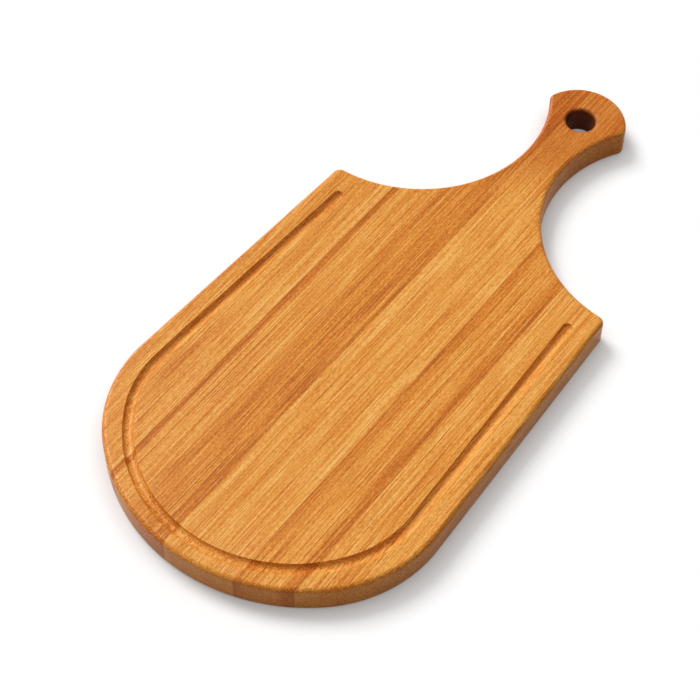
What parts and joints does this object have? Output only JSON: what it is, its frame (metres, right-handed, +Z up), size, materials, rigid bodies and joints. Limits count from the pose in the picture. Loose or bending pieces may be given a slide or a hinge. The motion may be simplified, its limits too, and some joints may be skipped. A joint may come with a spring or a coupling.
{
  "type": "paddle serving board",
  "caption": "Wooden paddle serving board of edge-glued staves, with a rounded front, a juice groove, hollowed shoulders and a flared handle with a hanging hole.",
  "frame": {"origin": "middle of the underside, halfway along the length and the width", "axes": "+Y from the round front to the end of the handle, +X to the right seen from above, +Z up out of the serving face"},
  "size_m": [0.21, 0.42, 0.019],
  "materials": {
    "light_wood": "oiled, satin",
    "warm_wood": "oiled, satin",
    "dark_wood": "oiled, satin",
    "glue": "cured wood glue, matt"
  },
  "bodies": {
    "root": {"left_edge_stave": "warm_wood", "left_outer_stave": "light_wood", "left_middle_stave": "warm_wood", "left_inner_stave": "dark_wood", "centre_stave": "light_wood", "right_inner_stave": "light_wood", "right_middle_stave": "dark_wood", "right_outer_stave": "light_wood", "right_edge_stave": "light_wood", "left_edge_glue_line": "glue", "left_outer_glue_line": "glue", "left_middle_glue_line": "glue", "left_inner_glue_line": "glue", "right_inner_glue_line": "glue", "right_middle_glue_line": "glue", "right_outer_glue_line": "glue", "right_edge_glue_line": "glue"}
  },
  "joints": []
}
